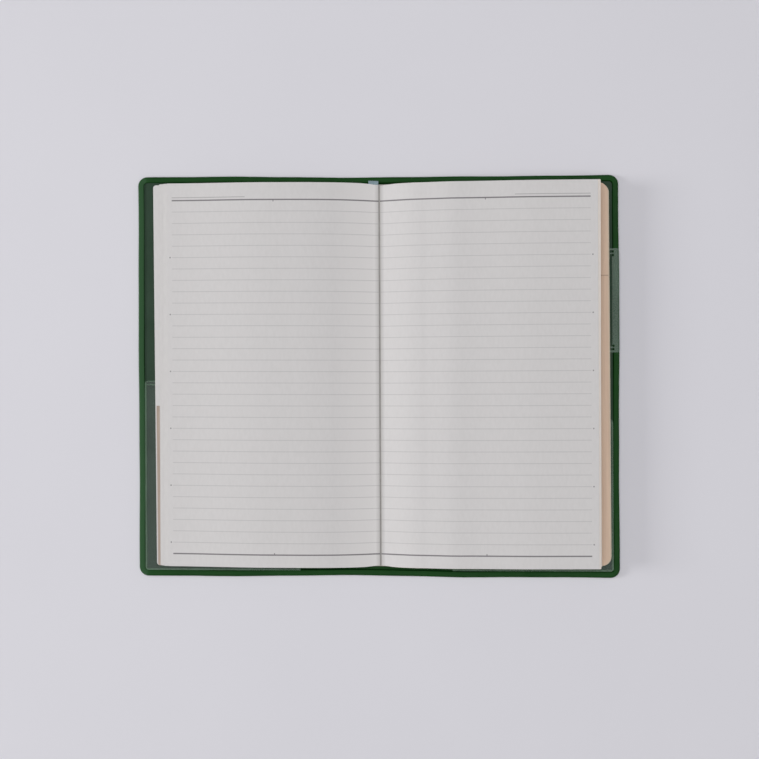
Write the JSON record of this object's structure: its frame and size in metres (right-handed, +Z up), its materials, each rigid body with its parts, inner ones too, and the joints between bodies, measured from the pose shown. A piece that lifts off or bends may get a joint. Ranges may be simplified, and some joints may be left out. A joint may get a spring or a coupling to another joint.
{
  "type": "address book",
  "caption": "Address book lying open in a green vinyl slip cover, with ruled white leaves, tan index leaves, clear pockets and a ribbon; both covers fold up to close it.",
  "frame": {"origin": "on the table under the middle of the open cover", "axes": "+X across the spread from the front cover to the back cover, +Y from tail to head, +Z up"},
  "size_m": [0.2098, 0.175, 0.0094],
  "materials": {
    "green_vinyl": "satin",
    "clear_vinyl": "clear",
    "card": "matte",
    "lining_cloth": "open weave",
    "thread": "twisted",
    "ribbon": "woven satin",
    "page_paper": "uncoated",
    "index_paper": "uncoated"
  },
  "bodies": {
    "spine": {"spine_sheet": "green_vinyl", "spine_rims": "green_vinyl", "spine_card": "card", "back_lining": "lining_cloth", "sewn_back": "page_paper", "sewing_threads": "thread", "ribbon_marker": "ribbon", "front_leaf_bends": "page_paper", "back_leaf_bends": "page_paper"},
    "front_cover": {"front_cover_sheet": "green_vinyl", "front_cover_rim": "green_vinyl", "front_card": "card", "front_sleeve": "green_vinyl", "front_clear_pocket": "clear_vinyl"},
    "back_cover": {"back_cover_sheet": "green_vinyl", "back_cover_rim": "green_vinyl", "back_card": "card", "back_sleeve": "green_vinyl", "back_clear_pocket": "clear_vinyl", "back_card_slot": "clear_vinyl"},
    "front_index_leaves": {"front_flyleaves": "page_paper", "front_index_leaves": "index_paper"},
    "front_page_section_1": {"front_page_section_1": "page_paper"},
    "front_page_section_2": {"front_page_section_2": "page_paper"},
    "front_page_section_3": {"front_page_section_3": "page_paper", "front_open_leaf": "page_paper"},
    "back_index_leaves": {"back_index_leaves": "index_paper"},
    "back_page_section_1": {"back_page_section_1": "page_paper"},
    "back_page_section_2": {"back_page_section_2": "page_paper"},
    "back_page_section_3": {"back_page_section_3": "page_paper"},
    "back_page_section_4": {"back_page_section_4": "page_paper", "back_open_leaf": "page_paper"}
  },
  "joints": [
    {"name": "front_cover_fold", "type": "hinge", "parent": "spine", "child": "front_cover", "pos_m": [-0.00695, 0, 0.0003], "axis": [0, 1, 0], "range_deg": [0, 90], "deforming": ["front_leaf_bends"]},
    {"name": "front_index_leaves_turn", "type": "hinge", "parent": "spine", "child": "front_index_leaves", "pos_m": [-0.00525, 0, 0.002], "axis": [0, 1, 0], "range_deg": [0, 90]},
    {"name": "front_page_section_1_turn", "type": "hinge", "parent": "spine", "child": "front_page_section_1", "pos_m": [-0.00465, 0, 0.0026], "axis": [0, 1, 0], "range_deg": [0, 90]},
    {"name": "front_page_section_2_turn", "type": "hinge", "parent": "spine", "child": "front_page_section_2", "pos_m": [-0.00377, 0, 0.00348], "axis": [0, 1, 0], "range_deg": [0, 90]},
    {"name": "front_page_section_3_turn", "type": "hinge", "parent": "spine", "child": "front_page_section_3", "pos_m": [-0.0029, 0, 0.00436], "axis": [0, 1, 0], "range_deg": [0, 90]},
    {"name": "back_cover_fold", "type": "hinge", "parent": "spine", "child": "back_cover", "pos_m": [0.01045, 0, 0.0003], "axis": [0, -1, 0], "range_deg": [0, 90], "deforming": ["back_leaf_bends"]},
    {"name": "back_index_leaves_turn", "type": "hinge", "parent": "spine", "child": "back_index_leaves", "pos_m": [0.00875, 0, 0.002], "axis": [0, -1, 0], "range_deg": [0, 90]},
    {"name": "back_page_section_1_turn", "type": "hinge", "parent": "spine", "child": "back_page_section_1", "pos_m": [0.00715, 0, 0.0036], "axis": [0, -1, 0], "range_deg": [0, 90]},
    {"name": "back_page_section_2_turn", "type": "hinge", "parent": "spine", "child": "back_page_section_2", "pos_m": [0.00695, 0, 0.0038], "axis": [0, -1, 0], "range_deg": [0, 90]},
    {"name": "back_page_section_3_turn", "type": "hinge", "parent": "spine", "child": "back_page_section_3", "pos_m": [0.00675, 0, 0.004], "axis": [0, -1, 0], "range_deg": [0, 90]},
    {"name": "back_page_section_4_turn", "type": "hinge", "parent": "spine", "child": "back_page_section_4", "pos_m": [0.00654, 0, 0.00421], "axis": [0, -1, 0], "range_deg": [0, 90]}
  ],
  "couplings": [
    {"joint": "front_index_leaves_turn", "follows": "front_cover_fold", "ratio": 1},
    {"joint": "front_page_section_1_turn", "follows": "front_cover_fold", "ratio": 1},
    {"joint": "front_page_section_2_turn", "follows": "front_cover_fold", "ratio": 1},
    {"joint": "front_page_section_3_turn", "follows": "front_cover_fold", "ratio": 1},
    {"joint": "back_index_leaves_turn", "follows": "back_cover_fold", "ratio": 1},
    {"joint": "back_page_section_1_turn", "follows": "back_cover_fold", "ratio": 1},
    {"joint": "back_page_section_2_turn", "follows": "back_cover_fold", "ratio": 1},
    {"joint": "back_page_section_3_turn", "follows": "back_cover_fold", "ratio": 1},
    {"joint": "back_page_section_4_turn", "follows": "back_cover_fold", "ratio": 1}
  ]
}
